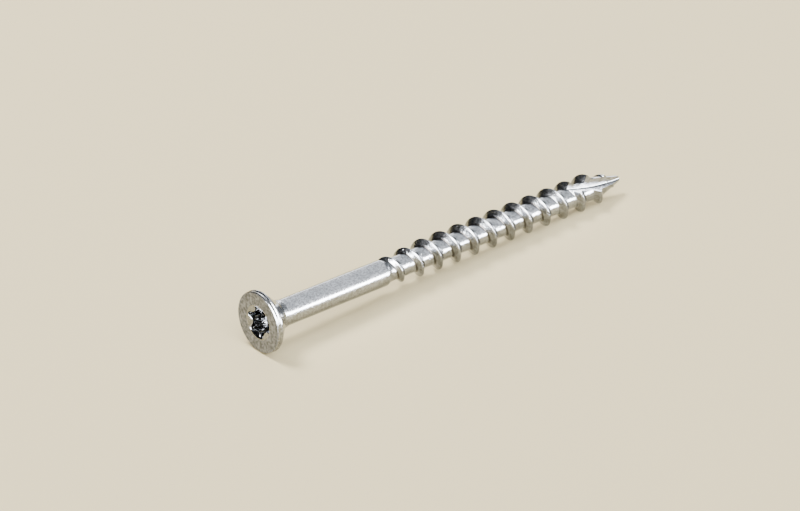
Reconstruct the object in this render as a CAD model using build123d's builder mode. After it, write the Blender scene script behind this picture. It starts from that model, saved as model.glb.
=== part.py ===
from build123d import *
from math import asin, atan2, cos, degrees, radians, sin, tan
import os

# Countersunk star-drive wood screw with a cut point, lying on a flat surface.
#
# A real screw is one piece of cold-formed stainless steel, so the nodes here are the
# named regions of that piece, meeting face to face: head, neck, shank, thread core,
# thread and cut point. Nothing moves.
#
# Each region is made upright, in the screw's own frame: the head's flat face is at Z = 0
# and the blunt tip is at Z = screw_length, so a height is a distance from the face. The
# last section lays the screw down. Lengths are in millimetres and angles in degrees.

# ---------------------------------------------------------------- driving dimensions
screw_length = 63.5

# Head: a flat face, a short cylindrical land and a 90 degree countersink.
head_radius = 4.28
head_land = 0.8
head_face_fillet = 0.15
head_back_fillet = 0.08
countersink_half_angle = 45.0

# Six-lobe recess, size 25, with a shallow dished mouth and a coned floor.
lobe_count = 6
recess_across_lobes = 4.5
recess_across_flats = 3.2
lobe_radius = 0.375
recess_depth = 2.4
recess_cone_depth = 0.5
mouth_radius = 2.42
mouth_depth = 0.3
recess_turn = 13.0

# Neck: a tapered collar between the countersink and the shank.
neck_top_radius = 2.5
neck_end = 3.9
neck_end_radius = 1.87

# Shank: smooth, wider than the thread's core, bevelled down to it.
shank_radius = 1.82
shank_end = 21.0
shank_bevel = 0.9

# Thread: single start, right-handed, steep towards the head and gentle towards the point.
# It rises out of the shank's bevel and reaches its full height at run_in_end.
core_radius = 1.5
thread_radius = 2.45
thread_pitch = 3.203
thread_start = 18.234
plain_turns = 10
crest_width = 0.3
head_side_flank = 4.0
point_side_flank = 42.0
run_in_start = 20.8
run_in_end = 27.9
run_in_radius = 1.8

# Cut point: the last turns of the thread on a cone with a blunt end, and one V-shaped
# flute milled along it. The flute's corner sinks below the screw's axis at the tip.
cut_turns = 4
point_start = 49.9
cone_start = 59.2
run_out_start = 58.3
blunt_radius = 0.28
flute_start = 53.2
flute_lead = 0.6
flute_slope = 8.8
flute_roll = -6.0
flute_shift = 0.05
flute_size = 14.0

# Cutting tools: how far they reach past what they cut.
root_overlap = 0.3
cutter_margin = 0.15
cutter_length = 9.0

# ---------------------------------------------------------------- worked-out dimensions
neck_start = head_land + (head_radius - neck_top_radius) / tan(radians(countersink_half_angle))
core_start = shank_end + shank_bevel
cutter_radius = thread_radius + cutter_margin
run_in_slope = (thread_radius - run_in_radius) / (run_in_end - run_in_start)
run_out_slope = (thread_radius - blunt_radius) / (screw_length - run_out_start)

# The recess outline is twelve arcs: a small one in each lobe, and between two lobes a
# larger one that bulges inwards and is tangent to both.
lobe_reach = recess_across_lobes / 2 - lobe_radius
half_flats = recess_across_flats / 2
lobe_half_pitch = 180 / lobe_count
cos_half_pitch = cos(radians(lobe_half_pitch))
bulge_radius = (
    lobe_radius**2 - lobe_reach**2 - half_flats**2 + 2 * lobe_reach * half_flats * cos_half_pitch
) / (2 * (half_flats - lobe_reach * cos_half_pitch - lobe_radius))
bulge_reach = half_flats + bulge_radius
tangent_angle = degrees(
    atan2(
        bulge_reach * sin(radians(lobe_half_pitch)),
        bulge_reach * cos_half_pitch - lobe_reach,
    )
)
bulge_half_arc = tangent_angle - lobe_half_pitch

# The screw rests on the rim of its head and on the last full-height turn of its thread,
# which passes under the screw three quarters of a turn after it starts.
underside = 0.75
rest_turn = int((run_out_start - thread_start) / thread_pitch - underside)
rest_contact = thread_start + (rest_turn + underside) * thread_pitch + crest_width / 2
rest_tilt = degrees(asin((head_radius - thread_radius) / (rest_contact - head_land)))
axis_run = cos(radians(rest_tilt))
axis_drop = sin(radians(rest_tilt))


def turned_profile(*corners):
    """The half section of a turned shape, from its (radius, distance) corners."""
    with BuildSketch(Plane.XZ) as half_section:
        with BuildLine():
            Polyline(*corners, close=True)
        make_face()
    return half_section.sketch


def lobed_outline():
    """The six-lobe outline of the recess, on the plane of the head's face."""
    with BuildSketch() as outline:
        with BuildLine():
            for lobe in range(lobe_count):
                lobe_angle = recess_turn + 2 * lobe * lobe_half_pitch
                bulge_angle = lobe_angle + lobe_half_pitch
                CenterArc(
                    (lobe_reach * cos(radians(lobe_angle)), lobe_reach * sin(radians(lobe_angle))),
                    lobe_radius,
                    lobe_angle - tangent_angle,
                    2 * tangent_angle,
                )
                CenterArc(
                    (bulge_reach * cos(radians(bulge_angle)), bulge_reach * sin(radians(bulge_angle))),
                    bulge_radius,
                    bulge_angle + 180 + bulge_half_arc,
                    -2 * bulge_half_arc,
                )
        make_face()
    return outline.sketch


def thread_turn(turn, root_radius, *trimmings):
    """One turn of the thread, swept along its helix, less the turned shapes that trim it."""
    turn_start = thread_start + turn * thread_pitch
    root_height = thread_radius - root_radius
    head_side_run = root_height * tan(radians(head_side_flank))
    point_side_run = root_height * tan(radians(point_side_flank))
    with BuildPart() as one_turn:
        with BuildLine() as crest_line:
            Helix(thread_pitch, thread_pitch, thread_radius, center=(0, 0, turn_start))
        section = turned_profile(
            (thread_radius, turn_start - crest_width / 2),
            (thread_radius, turn_start + crest_width / 2),
            (root_radius, turn_start + crest_width / 2 + point_side_run),
            (root_radius, turn_start - crest_width / 2 - head_side_run),
        )
        sweep(section, path=crest_line.line, is_frenet=True)
        for trimming in trimmings:
            revolve(trimming, axis=Axis.Z, mode=Mode.SUBTRACT)
    return one_turn.part


# ---------------------------------------------------------------- head
with BuildPart() as head:
    head_section = turned_profile(
        (0, 0),
        (head_radius, 0),
        (head_radius, head_land),
        (neck_top_radius, neck_start),
        (0, neck_start),
    )
    revolve(head_section, axis=Axis.Z)
    rim_edges = head.edges().filter_by(GeomType.CIRCLE).group_by(SortBy.RADIUS)[-1]
    face_edge = rim_edges.sort_by(Axis.Z)[0]
    back_edge = rim_edges.sort_by(Axis.Z)[-1]
    fillet(face_edge, radius=head_face_fillet)
    fillet(back_edge, radius=head_back_fillet)
    extrude(lobed_outline(), amount=recess_depth, mode=Mode.SUBTRACT)
    dished_mouth = turned_profile(
        (0, 0),
        (mouth_radius, 0),
        (half_flats, mouth_depth),
        (0, mouth_depth),
    )
    revolve(dished_mouth, axis=Axis.Z, mode=Mode.SUBTRACT)
    recess_floor = turned_profile(
        (0, recess_depth),
        (half_flats, recess_depth),
        (0, recess_depth + recess_cone_depth),
    )
    revolve(recess_floor, axis=Axis.Z, mode=Mode.SUBTRACT)

# ---------------------------------------------------------------- neck
with BuildPart() as neck:
    neck_section = turned_profile(
        (0, neck_start),
        (neck_top_radius, neck_start),
        (neck_end_radius, neck_end),
        (0, neck_end),
    )
    revolve(neck_section, axis=Axis.Z)

# ---------------------------------------------------------------- shank
with BuildPart() as shank:
    shank_section = turned_profile(
        (0, neck_end),
        (shank_radius, neck_end),
        (shank_radius, shank_end),
        (core_radius, core_start),
        (0, core_start),
    )
    revolve(shank_section, axis=Axis.Z)

# ---------------------------------------------------------------- thread core
with BuildPart() as thread_core:
    core_section = turned_profile(
        (0, core_start),
        (core_radius, core_start),
        (core_radius, point_start),
        (0, point_start),
    )
    revolve(core_section, axis=Axis.Z)

# ---------------------------------------------------------------- thread
shank_and_core = turned_profile(
    (0, neck_end),
    (shank_radius, neck_end),
    (shank_radius, shank_end),
    (core_radius, core_start),
    (core_radius, cone_start),
    (0, cone_start),
)
above_run_in = turned_profile(
    (run_in_radius, run_in_start - cutter_length),
    (run_in_radius, run_in_start),
    (cutter_radius, run_in_end + cutter_margin / run_in_slope),
    (cutter_radius, run_in_start - cutter_length),
)
with BuildPart() as thread:
    for turn in range(plain_turns):
        add(thread_turn(turn, core_radius - root_overlap, shank_and_core, above_run_in))

# ---------------------------------------------------------------- cut point
beyond_run_out = turned_profile(
    (cutter_radius, run_out_start - cutter_margin / run_out_slope),
    (blunt_radius, screw_length),
    (0, screw_length),
    (0, screw_length + cutter_length),
    (cutter_radius, screw_length + cutter_length),
)
with BuildPart() as cut_point:
    point_section = turned_profile(
        (0, point_start),
        (core_radius, point_start),
        (core_radius, cone_start),
        (blunt_radius, screw_length),
        (0, screw_length),
    )
    revolve(point_section, axis=Axis.Z)
    for turn in range(plain_turns, plain_turns + cut_turns):
        add(thread_turn(turn, blunt_radius / 2, beyond_run_out))
    flute_corner = Location((flute_shift, core_radius, flute_start), (flute_slope, 0, 0))
    with Locations(flute_corner * Location((0, 0, -flute_lead), (0, 0, flute_roll))):
        Box(
            flute_size,
            flute_size,
            flute_size,
            align=(Align.MAX, Align.MIN, Align.MIN),
            mode=Mode.SUBTRACT,
        )

# ---------------------------------------------------------------- lying on the surface
# The head is at -X and the point at +X. The origin is on the surface, under the middle of
# the screw's length.
flat_face_radius = head_radius - head_face_fillet
overall_length = screw_length * axis_run + (blunt_radius + flat_face_radius) * axis_drop
lying = Plane(
    origin=(
        flat_face_radius * axis_drop - overall_length / 2,
        0,
        head_radius * axis_run + head_land * axis_drop,
    ),
    x_dir=(0, 1, 0),
    z_dir=(axis_run, 0, -axis_drop),
)
head.part.locate(lying.location)
neck.part.locate(lying.location)
shank.part.locate(lying.location)
thread_core.part.locate(lying.location)
thread.part.locate(lying.location)
cut_point.part.locate(lying.location)

os.makedirs("parts", exist_ok=True)
head.part.label = "head"
export_step(head.part, "parts/head.step")
neck.part.label = "neck"
export_step(neck.part, "parts/neck.step")
shank.part.label = "shank"
export_step(shank.part, "parts/shank.step")
thread_core.part.label = "thread_core"
export_step(thread_core.part, "parts/thread_core.step")
thread.part.label = "thread"
export_step(thread.part, "parts/thread.step")
cut_point.part.label = "cut_point"
export_step(cut_point.part, "parts/cut_point.step")
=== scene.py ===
from math import atan2, cos, pi, radians, sin, sqrt, tan

import bmesh
import bpy
from mathutils import Matrix, Vector, noise


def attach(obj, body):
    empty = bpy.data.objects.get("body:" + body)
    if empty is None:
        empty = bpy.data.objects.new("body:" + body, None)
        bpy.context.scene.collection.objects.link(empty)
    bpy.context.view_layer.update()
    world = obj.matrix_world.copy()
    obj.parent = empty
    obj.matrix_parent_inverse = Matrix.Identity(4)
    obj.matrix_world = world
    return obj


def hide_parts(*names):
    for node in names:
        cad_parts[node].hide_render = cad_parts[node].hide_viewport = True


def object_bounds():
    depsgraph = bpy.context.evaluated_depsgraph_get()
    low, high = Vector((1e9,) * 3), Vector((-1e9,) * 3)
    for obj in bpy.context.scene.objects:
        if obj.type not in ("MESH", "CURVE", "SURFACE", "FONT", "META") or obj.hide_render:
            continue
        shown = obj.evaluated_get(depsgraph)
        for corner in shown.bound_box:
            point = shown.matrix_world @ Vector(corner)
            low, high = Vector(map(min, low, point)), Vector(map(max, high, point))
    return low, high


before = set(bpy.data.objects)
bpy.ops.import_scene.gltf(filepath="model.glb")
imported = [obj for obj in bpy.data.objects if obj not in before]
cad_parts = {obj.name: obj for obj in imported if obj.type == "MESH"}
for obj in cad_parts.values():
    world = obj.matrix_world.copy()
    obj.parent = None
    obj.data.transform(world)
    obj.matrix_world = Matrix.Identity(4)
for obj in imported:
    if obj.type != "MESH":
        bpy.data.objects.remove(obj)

# A countersunk star-drive wood screw with a cut point. Every shape below is worked out in
# the screw's own frame, in millimetres: local Z runs from the head's face to the point,
# local X is the row's +Y and local Y is the side away from the floor. to_row() then lays
# it down where the CAD model lies.

cad_low, cad_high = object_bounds()
MM = 0.001

# ------------------------------------------------------------------ the CAD's dimensions
SCREW_LENGTH = 63.5
HEAD_RADIUS = 4.2765
HEAD_LAND = 0.8
FACE_FILLET = 0.15
NECK_START = 2.58
NECK_START_RADIUS = 2.5
NECK_END = 3.9
NECK_END_RADIUS = 1.87
SHANK_RADIUS = 1.82
SHANK_END = 21.0
CORE_RADIUS = 1.5
THREAD_RADIUS = 2.45
PITCH = 3.203
THREAD_START = 18.234
POINT_START = 49.9
RECESS_DEPTH = 2.4
LOBE_REACH = 1.875
LOBE_RADIUS = 0.375
HALF_FLATS = 1.6
BULGE_RADIUS = 0.926
RECESS_TURN = 13.0
LOBE_TANGENT = radians(76.09)
MOUTH_RADIUS = 2.42
MOUTH_DEPTH = 0.3
TILT = radians(1.899165)

axis_run, axis_drop = cos(TILT), sin(TILT)
face_x = cad_low.x / MM + (HEAD_RADIUS - FACE_FILLET) * axis_drop
face_z = HEAD_RADIUS * axis_run + HEAD_LAND * axis_drop
SCREW_TO_ROW = Matrix((
    (0.0, axis_drop, axis_run, face_x),
    (1.0, 0.0, 0.0, 0.0),
    (0.0, axis_run, -axis_drop, face_z),
    (0.0, 0.0, 0.0, 1.0),
))


def to_row(point):
    """A point of the screw's own frame, in mm, as a row position in metres."""
    return (SCREW_TO_ROW @ Vector(point)) * MM


def polar(radius, angle, distance):
    return (radius * cos(angle), radius * sin(angle), distance)


def between(table, at):
    """Straight-line interpolation in a table of (position, value)."""
    if at <= table[0][0]:
        return table[0][1]
    for (x0, y0), (x1, y1) in zip(table, table[1:]):
        if at <= x1:
            return y0 + (y1 - y0) * (at - x0) / (x1 - x0)
    return table[-1][1]


def rounded(corners, steps=4):
    """A chain of (x, y, reach) corners with each corner eased over its reach."""
    points = []
    last = len(corners) - 1
    for index, (x, y, reach) in enumerate(corners):
        if index in (0, last) or reach == 0:
            points.append((x, y))
            continue
        before = Vector(corners[index - 1][:2])
        after = Vector(corners[index + 1][:2])
        here = Vector((x, y))
        back, ahead = before - here, after - here
        back_reach, ahead_reach = reach if isinstance(reach, tuple) else (reach, reach)
        start = here + back.normalized() * min(back_reach, 0.48 * back.length)
        end = here + ahead.normalized() * min(ahead_reach, 0.48 * ahead.length)
        for step in range(steps + 1):
            t = step / steps
            spot = start * (1 - t) ** 2 + here * 2 * t * (1 - t) + end * t ** 2
            points.append((spot.x, spot.y))
    return points


def wobble(x, y, z, size, seed=0.0):
    return noise.noise(Vector((x / size + seed, y / size - seed, z / size + 2 * seed)))


# ------------------------------------------------------------------ mesh helpers
def new_piece(name, bm, material, crease=32.0):
    bmesh.ops.recalc_face_normals(bm, faces=bm.faces)
    limit = radians(crease)
    for face in bm.faces:
        face.smooth = True
    for edge in bm.edges:
        edge.smooth = len(edge.link_faces) == 2 and edge.calc_face_angle(0.0) < limit
    mesh = bpy.data.meshes.new(name)
    bm.to_mesh(mesh)
    bm.free()
    mesh.materials.append(material)
    piece = bpy.data.objects.new(name, mesh)
    bpy.context.collection.objects.link(piece)
    return piece


def turned(rows, segments):
    """A closed skin about the axis. Each row is (radius, distance) or a function of the angle
    that gives them; the first and last rows close on the axis."""
    bm = bmesh.new()
    rings = []
    for row in rows:
        ring = []
        for column in range(segments):
            angle = 2 * pi * column / segments
            radius, distance = row(angle) if callable(row) else row
            ring.append(bm.verts.new(to_row(polar(radius, angle, distance))))
        rings.append(ring)
    for near, far in zip(rings, rings[1:]):
        for column in range(segments):
            after = (column + 1) % segments
            bm.faces.new((near[column], near[after], far[after], far[column]))
    for ring in (rings[0], rings[-1]):
        bm.faces.new(ring)
    return bm


def cut_plane(bm, distance, keep_point_side):
    """Cuts a skin square across the screw and closes the cut."""
    origin = to_row((0, 0, distance))
    normal = (SCREW_TO_ROW.to_3x3() @ Vector((0, 0, 1))).normalized()
    bmesh.ops.bisect_plane(
        bm,
        geom=bm.verts[:] + bm.edges[:] + bm.faces[:],
        dist=1e-8,
        plane_co=origin,
        plane_no=normal,
        clear_inner=keep_point_side,
        clear_outer=not keep_point_side,
    )
    rim = [edge for edge in bm.edges if len(edge.link_faces) == 1]
    bmesh.ops.holes_fill(bm, edges=rim, sides=0)


# ------------------------------------------------------------------ materials
def shader(name, base, roughness, metallic=1.0):
    material = bpy.data.materials.new(name)
    material.use_nodes = True
    tree = material.node_tree
    principled = tree.nodes["Principled BSDF"]
    principled.inputs["Metallic"].default_value = metallic
    principled.inputs["Base Color"].default_value = (*base, 1.0)
    principled.inputs["Roughness"].default_value = roughness
    return material, tree, principled


def node(tree, kind, **settings):
    made = tree.nodes.new(kind)
    for key, value in settings.items():
        if key in made.inputs:
            made.inputs[key].default_value = value
        else:
            setattr(made, key, value)
    return made


def screw_space(tree):
    """Object coordinates in the screw's own frame, in mm: X along the axis from the face."""
    place = tree.nodes.new("ShaderNodeTexCoord")
    turn = tree.nodes.new("ShaderNodeMapping")
    away = Matrix.Rotation(-TILT, 3, "Y") @ Vector((-face_x, 0.0, -face_z))
    turn.inputs["Location"].default_value = away
    turn.inputs["Rotation"].default_value = (0.0, -TILT, 0.0)
    turn.inputs["Scale"].default_value = (1 / MM, 1 / MM, 1 / MM)
    tree.links.new(place.outputs["Object"], turn.inputs["Vector"])
    return turn.outputs["Vector"]


def stretched(tree, vector, scale):
    made = tree.nodes.new("ShaderNodeVectorMath")
    made.operation = "MULTIPLY"
    tree.links.new(vector, made.inputs[0])
    made.inputs[1].default_value = scale
    return made.outputs[0]


def axis_and_radius(tree, vector):
    """Sockets for the distance along the axis and the distance from it."""
    split = tree.nodes.new("ShaderNodeSeparateXYZ")
    tree.links.new(vector, split.inputs[0])
    length = tree.nodes.new("ShaderNodeVectorMath")
    length.operation = "LENGTH"
    tree.links.new(stretched(tree, vector, (0.0, 1.0, 1.0)), length.inputs[0])
    return split.outputs["X"], length.outputs["Value"]


def remap(tree, value, low, high, to_low, to_high):
    made = tree.nodes.new("ShaderNodeMapRange")
    made.interpolation_type = "SMOOTHSTEP"
    tree.links.new(value, made.inputs["Value"])
    ends = {"From Min": low, "From Max": high, "To Min": to_low, "To Max": to_high}
    for key, number in ends.items():
        made.inputs[key].default_value = number
    return made.outputs["Result"]


def arithmetic(tree, operation, first, second):
    made = tree.nodes.new("ShaderNodeMath")
    made.operation = operation
    for socket, source in zip(made.inputs, (first, second)):
        if isinstance(source, float):
            socket.default_value = source
        else:
            tree.links.new(source, socket)
    return made.outputs[0]


def texture(tree, kind, vector, **settings):
    made = node(tree, kind, **settings)
    tree.links.new(vector, made.inputs["Vector"])
    return made


def ramp(tree, value, stops):
    made = tree.nodes.new("ShaderNodeValToRGB")
    elements = made.color_ramp.elements
    while len(elements) < len(stops):
        elements.new(0.5)
    for element, (position, grey) in zip(elements, stops):
        element.position = position
        level = grey if isinstance(grey, tuple) else (grey, grey, grey)
        element.color = (*level, 1.0)
    tree.links.new(value, made.inputs["Fac"])
    return made.outputs["Color"]


def mix(tree, factor, first, second, blend="MIX"):
    made = tree.nodes.new("ShaderNodeMix")
    made.data_type = "RGBA"
    made.blend_type = blend
    for socket, source in ((made.inputs[0], factor), (made.inputs[6], first), (made.inputs[7], second)):
        if isinstance(source, tuple):
            socket.default_value = (*source, 1.0)
        elif isinstance(source, float):
            socket.default_value = source
        else:
            tree.links.new(source, socket)
    return made.outputs[2]


def bump(tree, height, depth, under=None):
    """A full-strength bump whose height of 1 stands depth mm proud."""
    made = node(tree, "ShaderNodeBump", Strength=1.0, Distance=depth * MM)
    tree.links.new(height, made.inputs["Height"])
    if under is not None:
        tree.links.new(under, made.inputs["Normal"])
    return made.outputs["Normal"]


# Noise cells per mm, along the screw and across it.
PATCH_SCALE = (0.7, 1.0, 1.0)
TOOL_LINE_SCALE = (6.0, 6.0, 0.0)
GRAIN_SCALE = (3.6, 4.6, 4.6)
PIT_SCALE = (1.2, 1.5, 1.5)
PIT_GROUP_SCALE = (0.9, 0.9, 0.9)
FLECK_SCALE = (2.3, 2.3, 2.3)
# Painted shade: a dark line at the thread's foot, on its head side, standing in for the corner's dark
# reflection.
ROOT_SHADE_SETBACK = 0.49
ROOT_SHADE_COLOUR = (0.05, 0.045, 0.04)
CLEAN = (1.0, 1.0, 1.0)


def noise_field(tree, vector, scale, detail):
    made = texture(tree, "ShaderNodeTexNoise", stretched(tree, vector, scale), Scale=1.0, Detail=detail)
    return made.outputs["Fac"]


def both(tree, first, second):
    return arithmetic(tree, "MULTIPLY", first, second)


def steel(name, pale, dull, roughness, depths, pit_share, face=None, shade_roots=False):
    """Stainless steel: broad tone patches, fine tool lines round the axis, grain, small pits.
    depths are the heights in mm of the lines, the grain and the pits. face is the (colour,
    roughness) of a faced-off end; the flag after it adds painted shade: a dark line along the thread's
    foot."""
    line_depth, grain_depth, pit_depth = depths
    material, tree, principled = shader(name, pale, roughness)
    space = screw_space(tree)
    along, radius = axis_and_radius(tree, space)
    lathe = tree.nodes.new("ShaderNodeCombineXYZ")
    tree.links.new(along, lathe.inputs["X"])
    tree.links.new(radius, lathe.inputs["Y"])
    patches = noise_field(tree, space, PATCH_SCALE, 5.0)
    lines = noise_field(tree, lathe.outputs[0], TOOL_LINE_SCALE, 6.0)
    grain = noise_field(tree, space, GRAIN_SCALE, 5.0)
    pits = texture(tree, "ShaderNodeTexVoronoi", stretched(tree, space, PIT_SCALE), Scale=1.0)
    pit_groups = noise_field(tree, space, PIT_GROUP_SCALE, 2.0)

    tone = ramp(tree, patches, ((0.40, dull), (0.60, pale)))
    speck = ramp(tree, pits.outputs["Distance"], ((0.09, 0.06), (0.22, 1.0)))
    where = remap(tree, pit_groups, 0.62 - pit_share, 0.68 - pit_share, 0.0, 0.9)
    mottle = ramp(tree, grain, ((0.36, 0.6), (0.58, 1.0)))
    colour = mix(tree, where, mix(tree, 1.0, tone, mottle, "MULTIPLY"), speck, "MULTIPLY")
    # Painted shade: a dark line along the thread's foot.
    if shade_roots:
        colour = mix(tree, root_shade_strength(tree, space, along, radius), colour, ROOT_SHADE_COLOUR)
    rough = remap(tree, grain, 0.3, 0.7, roughness - 0.05, roughness + 0.07)
    line_height, grain_height = lines, grain
    if face is not None:
        face_colour, face_roughness = face
        recessed = both(tree, below_face(tree, along, 0.0, 1.0), past_mouth(tree, radius, 1.0, 0.0))
        rough = arithmetic(tree, "SUBTRACT", rough, arithmetic(tree, "MULTIPLY", recessed, 0.08))
        calm = arithmetic(tree, "SUBTRACT", 1.0, arithmetic(tree, "MULTIPLY", recessed, 0.9))
        line_height, grain_height = both(tree, lines, calm), both(tree, grain, calm)
        on_face = both(tree, below_face(tree, along, 1.0, 0.0), past_mouth(tree, radius, 0.0, 1.0))
        colour = mix(tree, on_face, colour, scuffed(tree, space, patches, face_colour))
        duller = arithmetic(tree, "MULTIPLY", on_face, face_roughness - roughness)
        rough = arithmetic(tree, "ADD", rough, duller)
    tree.links.new(colour, principled.inputs["Base Color"])
    tree.links.new(rough, principled.inputs["Roughness"])

    ridged = bump(tree, line_height, line_depth)
    pitted = bump(tree, mix(tree, where, CLEAN, speck), pit_depth, ridged)
    tree.links.new(bump(tree, grain_height, grain_depth, pitted), principled.inputs["Normal"])
    return material


def below_face(tree, along, above, below):
    """One value on the head's flat face and another just below it."""
    return remap(tree, along, 0.02, 0.08, above, below)


def past_mouth(tree, radius, inside, outside):
    """One value inside the recess's mouth and another outside it."""
    return remap(tree, radius, 2.38, 2.5, inside, outside)


def scuffed(tree, space, patches, colour):
    """The head's face: its colour under fine flecks and broad scuffs."""
    scuffs = ramp(tree, patches, ((0.38, 0.72), (0.62, 1.0)))
    flecks = noise_field(tree, space, FLECK_SCALE, 5.0)
    spots = ramp(tree, flecks, ((0.41, 0.42), (0.58, 1.0)))
    return mix(tree, 1.0, mix(tree, 1.0, colour, spots, "MULTIPLY"), scuffs, "MULTIPLY")


def root_shade_strength(tree, space, along, radius):
    """How strongly the painted shade, a dark line at the thread's foot on its head side, shows at a
    point.
    """
    half_pitch_back = THREAD_START - ROOT_SHADE_SETBACK - 0.5 * PITCH
    across = tree.nodes.new("ShaderNodeSeparateXYZ")
    tree.links.new(space, across.inputs[0])
    angle = arithmetic(tree, "ARCTAN2", across.outputs["Z"], across.outputs["Y"])
    turned_by = arithmetic(tree, "DIVIDE", angle, 2 * pi)
    pitches = arithmetic(tree, "DIVIDE", arithmetic(tree, "SUBTRACT", along, half_pitch_back), PITCH)
    phase = arithmetic(tree, "FRACT", arithmetic(tree, "SUBTRACT", pitches, turned_by), 0.0)
    away = arithmetic(tree, "ABSOLUTE", arithmetic(tree, "SUBTRACT", phase, 0.5), 0.0)
    return both(tree, remap(tree, away, 0.025, 0.05, 0.9, 0.0), remap(tree, radius, 1.6, 1.75, 1.0, 0.0))


head_steel = steel(
    "head_steel", (0.33, 0.34, 0.355), (0.26, 0.265, 0.275), 0.16, (0.012, 0.012, 0.02), 0.0,
    face=((0.225, 0.23, 0.24), 0.36),
)
shank_steel = steel(
    "shank_steel", (0.33, 0.34, 0.36), (0.285, 0.295, 0.31), 0.19, (0.008, 0.008, 0.004), 0.0,
)
# The threaded length's steel carries the painted shade line at the thread's foot.
thread_steel = steel(
    "thread_steel", (0.33, 0.34, 0.36), (0.23, 0.24, 0.255), 0.18, (0.014, 0.022, 0.04), 0.09,
    shade_roots=True,
)
point_steel = steel(
    "point_steel", (0.34, 0.35, 0.37), (0.27, 0.28, 0.295), 0.19, (0.010, 0.012, 0.03), 0.04,
)

# ------------------------------------------------------------------ head
HEAD_COLUMNS = 360
WALL_STEPS = 6
FLOOR_SHRINK = 0.12
FLOOR_RIM = 0.04
FLOOR_CONE = 0.46


def lobe_outline(angle):
    """The recess outline's radius at an angle about the axis."""
    sector = pi / 3
    offset = (angle - radians(RECESS_TURN) + sector / 2) % sector - sector / 2
    tangent = atan2(LOBE_RADIUS * sin(LOBE_TANGENT), LOBE_REACH + LOBE_RADIUS * cos(LOBE_TANGENT))
    if abs(offset) <= tangent:
        return LOBE_REACH * cos(offset) + sqrt(LOBE_RADIUS ** 2 - (LOBE_REACH * sin(offset)) ** 2)
    across = sector / 2 - abs(offset)
    reach = HALF_FLATS + BULGE_RADIUS
    return reach * cos(across) - sqrt(BULGE_RADIUS ** 2 - (reach * sin(across)) ** 2)


def dish(radius):
    """How far below the face the dished mouth is at a radius."""
    return max(0.0, MOUTH_DEPTH * (MOUTH_RADIUS - radius) / (MOUTH_RADIUS - HALF_FLATS))


def lip_row(grow, drop):
    """A row of the dished mouth, grown past the recess's outline and dropped below the dish."""
    def row(angle):
        radius = lobe_outline(angle) + grow
        return (radius, dish(radius) + drop)
    return row


def wall_row(shrink, distance):
    return lambda angle: (lobe_outline(angle) - shrink, distance)


def floor_row(share):
    """A row of the recess's shallow conical floor, at a share of the way out."""
    def row(angle):
        radius = share * (lobe_outline(angle) - FLOOR_SHRINK)
        return (radius, RECESS_DEPTH + FLOOR_RIM + FLOOR_CONE * max(0.0, 1 - radius / HALF_FLATS))
    return row


head_rows = [(1.0, NECK_START)]
head_rows += rounded([
    (1.9, NECK_START, 0),
    (NECK_START_RADIUS, NECK_START, 0),
    (NECK_START_RADIUS + 0.35, NECK_START - 0.35, 0.2),
    (HEAD_RADIUS - 0.3, HEAD_LAND + 0.3, 0.1),
    (HEAD_RADIUS, HEAD_LAND, 0.07),
    (HEAD_RADIUS, HEAD_LAND - 0.22, 0.04),
    (HEAD_RADIUS - 0.11, HEAD_LAND - 0.32, 0.05),
    (HEAD_RADIUS - 0.02, 0.15, 0.05),
    (HEAD_RADIUS - 0.16, 0.0, 0.05),
    (HEAD_RADIUS - 0.8, 0.0, 0.1),
    (HEAD_RADIUS - 1.3, 0.0, 0.1),
    (MOUTH_RADIUS, 0.0, 0.1),
    (MOUTH_RADIUS - 0.1, dish(MOUTH_RADIUS - 0.1), 0.0),
], 6)
head_rows += [lip_row(0.05, 0.0), lip_row(0.015, 0.012), lip_row(-0.012, 0.045), lip_row(-0.02, 0.12)]
head_rows += [
    wall_row(0.02 + 0.05 * step / WALL_STEPS, 0.45 + (RECESS_DEPTH - 0.6) * step / WALL_STEPS)
    for step in range(WALL_STEPS + 1)
]
head_rows += [wall_row(0.08, RECESS_DEPTH - 0.06), wall_row(FLOOR_SHRINK, RECESS_DEPTH)]
head_rows += [floor_row(share) for share in (0.9, 0.7, 0.5, 0.3, 0.15, 0.05)]
head = new_piece("screw_head", turned(head_rows, HEAD_COLUMNS), head_steel, 40.0)
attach(head, "root")
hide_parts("head")

# ------------------------------------------------------------------ neck and shank
ROUND_COLUMNS = 192
HIDDEN_RADIUS = 0.8
SHANK_STEPS = 12
SPLIT = 20.8             # where the shank's mesh ends and the threaded one starts
neck_rows = rounded([
    (HIDDEN_RADIUS, NECK_START, 0),
    (NECK_START_RADIUS, NECK_START, 0),
    (2.3, 2.72, 0.06),
    (2.21, 2.86, 0.04),
    (2.04, 3.14, 0.05),
    (2.02, 3.2, 0.02),
    (1.99, 3.42, 0.03),
    (1.965, 3.46, 0.02),
    (1.92, 3.82, 0.03),
    (NECK_END_RADIUS - 0.04, NECK_END, 0),
    (HIDDEN_RADIUS, NECK_END, 0),
], 4)
neck = new_piece("neck_collar", turned(neck_rows, ROUND_COLUMNS), shank_steel)
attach(neck, "root")
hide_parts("neck")

shank_rows = [(HIDDEN_RADIUS, NECK_END), (SHANK_RADIUS, NECK_END)]
shank_rows += [
    (SHANK_RADIUS, NECK_END + (SPLIT - NECK_END) * step / SHANK_STEPS)
    for step in range(1, SHANK_STEPS + 1)
]
shank_rows += [(HIDDEN_RADIUS, SPLIT)]
shank = new_piece("smooth_shank", turned(shank_rows, ROUND_COLUMNS), shank_steel)
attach(shank, "root")
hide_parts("shank")

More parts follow.
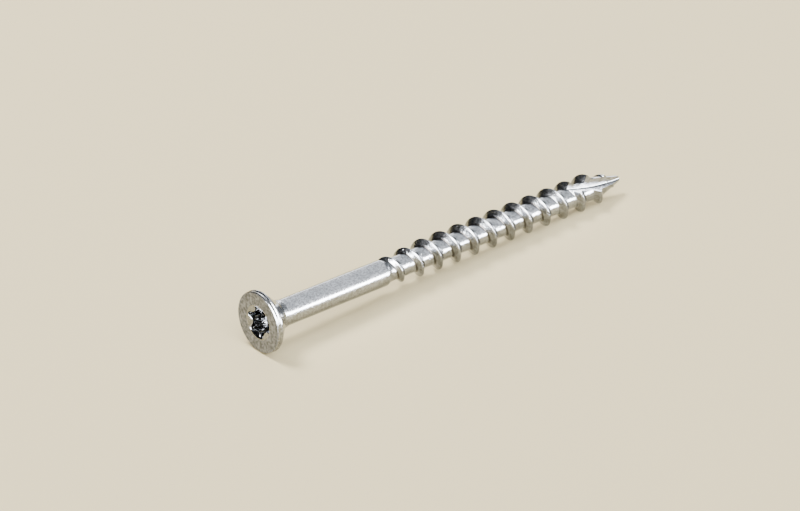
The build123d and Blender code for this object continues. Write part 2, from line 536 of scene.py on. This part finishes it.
# ------------------------------------------------------------------ threaded skin
# One helical grid: columns run round the helix, rows run across one pitch of the profile,
# and each turn's last row is the next turn's first.
COLUMNS = 96
TURNS = 14.6
FIRST_ROW = -0.8
CREST_HALF = 0.15
HEAD_SIDE = tan(radians(4.0))
POINT_SIDE = tan(radians(42.0))
FOOT_OUT = 0.24          # how far the head side's foot stands out, for a rolled flank
BROW_SHARE = 0.62        # the part of the height that the upper, leaning flank takes
BROW_OUT = 0.1
CREST_IN = 0.16
FULL_HEIGHT = 0.6        # thread at least this high has the whole profile
CREST_DROP = 0.008       # keeps the uneven crest inside the CAD's thread
CREST_PLAY = 0.014
CREST_NICKS = 0.02
NICK_FLOOR = 0.42        # noise above this makes a nick
SIDE_PLAY = 0.02
WOBBLE_RADIUS = 2.4      # where round the axis the unevenness is read
BEVEL_FOOT = 21.3
BEVEL_END = 21.75
CORE_TABLE = (
    (SHANK_END, SHANK_RADIUS), (BEVEL_FOOT, 1.66), (BEVEL_END, 1.53), (22.1, 1.50), (22.3, 1.515),
    (22.5, 1.49), (22.8, CORE_RADIUS), (59.0, CORE_RADIUS), (59.5, 1.44), (62.6, 0.62),
    (63.1, 0.48), (63.3, 0.4), (63.42, 0.28), (63.48, 0.16), (SCREW_LENGTH, 0.0),
)
CREST_TABLE = (
    (20.6, 1.78), (21.9, 1.95), (23.5, 2.10), (25.1, 2.18), (26.7, 2.38), (28.3, 2.41),
    (30.0, THREAD_RADIUS), (57.8, THREAD_RADIUS), (58.7, 2.3), (60.35, 1.5), (61.9, 0.9),
    (63.2, 0.3), (63.6, 0.0),
)
SNAP_RINGS = (SHANK_END, BEVEL_FOOT, BEVEL_END)
SNAP_REACH = 0.1
JOIN_REACH = 2e-6        # metres
SLIVER_REACH = 2e-7      # metres


def core_at(distance):
    return between(CORE_TABLE, distance)


def crest_at(distance, angle):
    """The crest's radius, a little uneven and with a few shallow nicks."""
    crest = between(CREST_TABLE, distance)
    around = polar(WOBBLE_RADIUS, angle, distance)
    uneven = CREST_PLAY * wobble(*around, 1.7, 3.1)
    nick = CREST_NICKS * max(0.0, wobble(*around, 0.6, 7.7) - NICK_FLOOR)
    return crest - CREST_DROP + uneven - nick


def divided(start, end, parts):
    """The points between two others, in equal steps."""
    (x0, y0), (x1, y1) = start, end
    return [(x0 + (x1 - x0) * step / parts, y0 + (y1 - y0) * step / parts) for step in range(1, parts)]


def along_core(distance, start, end, parts):
    """Points on the core between two offsets from a crest."""
    offsets = [start + (end - start) * step / parts for step in range(1, parts)]
    return [(offset, core_at(distance + offset)) for offset in offsets]


def profile(distance, angle):
    """The thread's section at one crest position, as (offset, radius) from one pitch boundary
    to the next."""
    core = core_at(distance)
    height = max(0.0, crest_at(distance, angle) - core)
    shift = SIDE_PLAY * wobble(*polar(WOBBLE_RADIUS, angle, distance), 1.3, 5.3)
    left = shift - CREST_HALF
    right = shift + CREST_HALF
    ease = max(0.001, min(1.0, height / FULL_HEIGHT))
    foot_left = left - FOOT_OUT * ease - HEAD_SIDE * height
    foot_right = right + POINT_SIDE * height
    crest = core + height
    end = FIRST_ROW + PITCH
    chain = rounded([
        (FIRST_ROW, core_at(distance + FIRST_ROW), 0),
        (foot_left, core_at(distance + foot_left), 0.06 * ease),
        (left - BROW_OUT * ease, crest - BROW_SHARE * height, (0.12 * ease, 0.3 * ease)),
        (left + CREST_IN * ease, crest, (0.28 * ease, 0.06 * ease)),
        (right, crest, (0.06 * ease, 0.2 * ease)),
        (foot_right, core_at(distance + foot_right), 0.32 * ease),
        (end, core_at(distance + end), 0),
    ])
    # Each of the five rounded corners has five points, between the chain's two ends.
    head_foot, rest, point_foot = chain[1:6], chain[6:21], chain[21:26]
    points = chain[:1] + along_core(distance, FIRST_ROW, head_foot[0][0], 5)
    points += head_foot + divided(head_foot[-1], rest[0], 2)
    points += rest + divided(rest[-1], point_foot[0], 4)
    points += point_foot + along_core(distance, point_foot[-1][0], end, 16)
    return points


def snapped(section):
    """A section whose plain core points near an edge of the shank's bevel lie on that edge."""
    for ring in SNAP_RINGS:
        nearest = min(range(len(section)), key=lambda i: abs(section[i][0] - ring))
        distance, radius = section[nearest]
        if abs(distance - ring) < SNAP_REACH and radius < core_at(distance) + 0.001:
            section[nearest] = (ring, core_at(ring))
    return section


def threaded_skin():
    """The core and the thread as one skin, open at the head's end."""
    bm = bmesh.new()
    count = int(COLUMNS * TURNS)
    verts = []
    for column in range(count + 1):
        angle = 2 * pi * column / COLUMNS
        centre = THREAD_START + PITCH * column / COLUMNS
        line = []
        for distance, radius in snapped([(centre + offset, r) for offset, r in profile(centre, angle)]):
            if distance >= SCREW_LENGTH:
                distance, radius = SCREW_LENGTH, 0.0
            line.append(bm.verts.new(to_row(polar(radius, angle, distance))))
        verts.append(line)
    last = len(verts[0]) - 1
    for column in range(count):
        here, beside = verts[column], verts[column + 1]
        for row in range(last):
            bm.faces.new((here[row], beside[row], beside[row + 1], here[row + 1]))
        after = column + COLUMNS
        if after + 1 <= count:
            bm.faces.new((here[last], beside[last], verts[after + 1][0], verts[after][0]))
    bmesh.ops.remove_doubles(bm, verts=bm.verts, dist=JOIN_REACH)
    return bm


# The flute's floor, as (distance, height above the axis).
FLUTE_FLOOR = (
    (52.4, 2.3), (52.9, 1.86), (53.55, 1.56), (54.85, 1.21), (56.33, 0.86), (58.2, 0.47),
    (60.06, 0.23), (61.92, 0.06), (63.22, 0.0), (64.6, -0.03),
)
FLUTE_START = 52.4
FLUTE_STEP = 0.2
FLUTE_STATIONS = 62
FLUTE_WALL = 0.05        # where the leaning wall stands at FLUTE_WALL_HEIGHT
FLUTE_WALL_HEIGHT = 2.4
FLUTE_LEAN = 0.107
FLUTE_CORNER = 0.16
FLUTE_CORNER_STEPS = 4
FLUTE_TOP = 5.0
FLUTE_SIDE = 6.0


def flute_section(distance):
    """The cutter's outline at one distance: a steep wall, a small corner radius, a floor."""
    height = between(FLUTE_FLOOR, distance)
    wall = FLUTE_WALL + FLUTE_LEAN * (height - FLUTE_WALL_HEIGHT)
    corner = Vector((wall, height))
    up = Vector((FLUTE_LEAN, 1.0)).normalized()
    away = Vector((-1.0, FLUTE_LEAN)).normalized()
    section = [corner + up * (FLUTE_TOP - height), corner + up * 0.6]
    for step in range(FLUTE_CORNER_STEPS + 1):
        t = step / FLUTE_CORNER_STEPS
        section.append(corner + up * FLUTE_CORNER * (1 - t) ** 2 + away * FLUTE_CORNER * t ** 2)
    section += [corner + away, corner + away * FLUTE_SIDE, Vector((-FLUTE_SIDE, FLUTE_TOP))]
    return section


def flute_cutter():
    """The V-shaped milling cut as a closed solid."""
    bm = bmesh.new()
    stations = []
    for step in range(FLUTE_STATIONS):
        distance = FLUTE_START + FLUTE_STEP * step
        section = flute_section(distance)
        stations.append([bm.verts.new(to_row((spot.x, spot.y, distance))) for spot in section])
    sides = len(stations[0])
    for near, far in zip(stations, stations[1:]):
        for side in range(sides):
            after = (side + 1) % sides
            bm.faces.new((near[side], near[after], far[after], far[side]))
    bm.faces.new(stations[0])
    bm.faces.new(stations[-1])
    return bm


def fluted(skin):
    """The point's skin with the flute cut out of it."""
    blank = new_piece("blank_point", skin, point_steel, 38.0)
    cutter = new_piece("flute_tool", flute_cutter(), point_steel)
    boolean = blank.modifiers.new("flute", "BOOLEAN")
    boolean.object = cutter
    boolean.operation = "DIFFERENCE"
    boolean.solver = "EXACT"
    boolean.use_self = True
    boolean.use_hole_tolerant = True
    bpy.context.view_layer.update()
    shape = bpy.data.meshes.new_from_object(blank.evaluated_get(bpy.context.evaluated_depsgraph_get()))
    bpy.data.objects.remove(blank)
    bpy.data.objects.remove(cutter)
    shaped = bmesh.new()
    shaped.from_mesh(shape)
    bmesh.ops.remove_doubles(shaped, verts=shaped.verts, dist=SLIVER_REACH)
    bmesh.ops.dissolve_degenerate(shaped, edges=shaped.edges, dist=SLIVER_REACH)
    return shaped


skin = threaded_skin()
length_part = skin.copy()
cut_plane(length_part, SPLIT, True)
cut_plane(length_part, POINT_START, False)
threaded = new_piece("threaded_length", length_part, thread_steel, 38.0)
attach(threaded, "root")
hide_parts("thread_core", "thread")

cut_plane(skin, POINT_START, True)
point = new_piece("fluted_point", fluted(skin), point_steel, 30.0)
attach(point, "root")
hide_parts("cut_point")

# ------------------------------------------------------------------ floor, light, camera
FLOOR_SIZE = 3.0         # metres from the middle to each side
floor_material, _, floor_shader = shader("pale_floor", (0.76, 0.64, 0.38), 0.6, 0.0)
floor_shader.inputs["Specular IOR Level"].default_value = 0.0
floor_bm = bmesh.new()
bmesh.ops.create_grid(floor_bm, x_segments=8, y_segments=8, size=FLOOR_SIZE)
floor = new_piece("floor", floor_bm, floor_material)

# The steel mirrors a sky that is darker on the left, behind, low down and past the point. The
# camera sees a plain grey one.
LIT_SIDE = (0.75, -0.66, 0.0)
SEEN_GREY = (1.2, 1.2, 1.2)
world = bpy.data.worlds.new("studio")
bpy.context.scene.world = world
world.use_nodes = True
sky = world.node_tree
background = sky.nodes["Background"]
sky_path = sky.nodes.new("ShaderNodeLightPath")
direction = sky.nodes.new("ShaderNodeTexCoord").outputs["Generated"]
sky_split = sky.nodes.new("ShaderNodeSeparateXYZ")
sky.links.new(direction, sky_split.inputs[0])
to_light = sky.nodes.new("ShaderNodeVectorMath")
to_light.operation = "DOT_PRODUCT"
sky.links.new(direction, to_light.inputs[0])
to_light.inputs[1].default_value = LIT_SIDE
lit_side = both(
    sky,
    remap(sky, to_light.outputs["Value"], -0.45, 0.1, 0.05, 2.65),
    remap(sky, sky_split.outputs["Z"], 0.05, 0.4, 0.15, 1.0),
)
past_point = both(
    sky,
    remap(sky, sky_split.outputs["X"], 0.61, 0.72, 0.0, 0.72),
    remap(sky, sky_split.outputs["Y"], -0.45, -0.25, 0.0, 1.0),
)
mirrored_sky = mix(sky, past_point, lit_side, (0.0, 0.0, 0.0))
seen_sky = mix(sky, sky_path.outputs["Is Camera Ray"], mirrored_sky, SEEN_GREY)
background.inputs["Color"].default_value = (0.94, 0.97, 1.0, 1.0)
sky.links.new(seen_sky, background.inputs["Strength"])


def softbox(name, azimuth, elevation, distance, width, height, radiance, on_metal=True):
    """A soft rectangular light that faces the screw, at angles in degrees and a distance in
    metres. The steel mirrors the on_metal ones, and the other lights the floor."""
    light = bpy.data.lights.new(name, "AREA")
    light.shape = "RECTANGLE"
    light.size = width
    light.size_y = height
    light.energy = radiance * pi * width * height
    lamp = bpy.data.objects.new(name, light)
    bpy.context.collection.objects.link(lamp)
    a, e = radians(azimuth), radians(elevation)
    away = Vector((cos(a) * cos(e), sin(a) * cos(e), sin(e)))
    lamp.location = away * distance
    lamp.rotation_euler = away.to_track_quat("Z", "Y").to_euler()
    lamp.visible_camera = False
    lamp.visible_diffuse = not on_metal
    lamp.visible_glossy = on_metal


softbox("low_side_box", -55, 7, 1.3, 1.1, 0.40, 68.0)
softbox("front_box", -137, 32, 1.3, 1.7, 1.0, 72.0)
softbox("point_box", 36, 17, 1.3, 0.36, 0.34, 10.0)
softbox("rim_box", 55, 9, 1.3, 1.0, 0.3, 5.0)
softbox("head_end_box", -161, 7, 1.3, 0.75, 0.32, 32.0)
softbox("key_box", 110, 62, 1.4, 0.5, 0.5, 36.0, on_metal=False)

# The camera, placed so that the head's face lies FACE_IN_VIEW (mm right, up and back) from it.
VIEW_AZIMUTH = radians(-40.3149)
VIEW_ELEVATION = radians(31.026)
FACE_IN_VIEW = (-18.438, -8.734, -649.187)
right = Vector((cos(VIEW_AZIMUTH), sin(VIEW_AZIMUTH), 0.0))
back = Vector((
    sin(VIEW_AZIMUTH) * cos(VIEW_ELEVATION),
    -cos(VIEW_AZIMUTH) * cos(VIEW_ELEVATION),
    sin(VIEW_ELEVATION),
))
up = back.cross(right)
camera_data = bpy.data.cameras.new("camera")
camera_data.lens = 225.0
camera_data.sensor_width = 36.0
camera_data.sensor_fit = "HORIZONTAL"
camera_data.clip_start = 0.01
camera_data.clip_end = 20.0
camera = bpy.data.objects.new("camera", camera_data)
bpy.context.collection.objects.link(camera)
face_centre = to_row((0, 0, 0))
seen = (right * FACE_IN_VIEW[0] + up * FACE_IN_VIEW[1] + back * FACE_IN_VIEW[2]) * MM
camera.location = face_centre - seen
camera.rotation_euler = Matrix((right, up, back)).transposed().to_euler()
bpy.context.scene.camera = camera
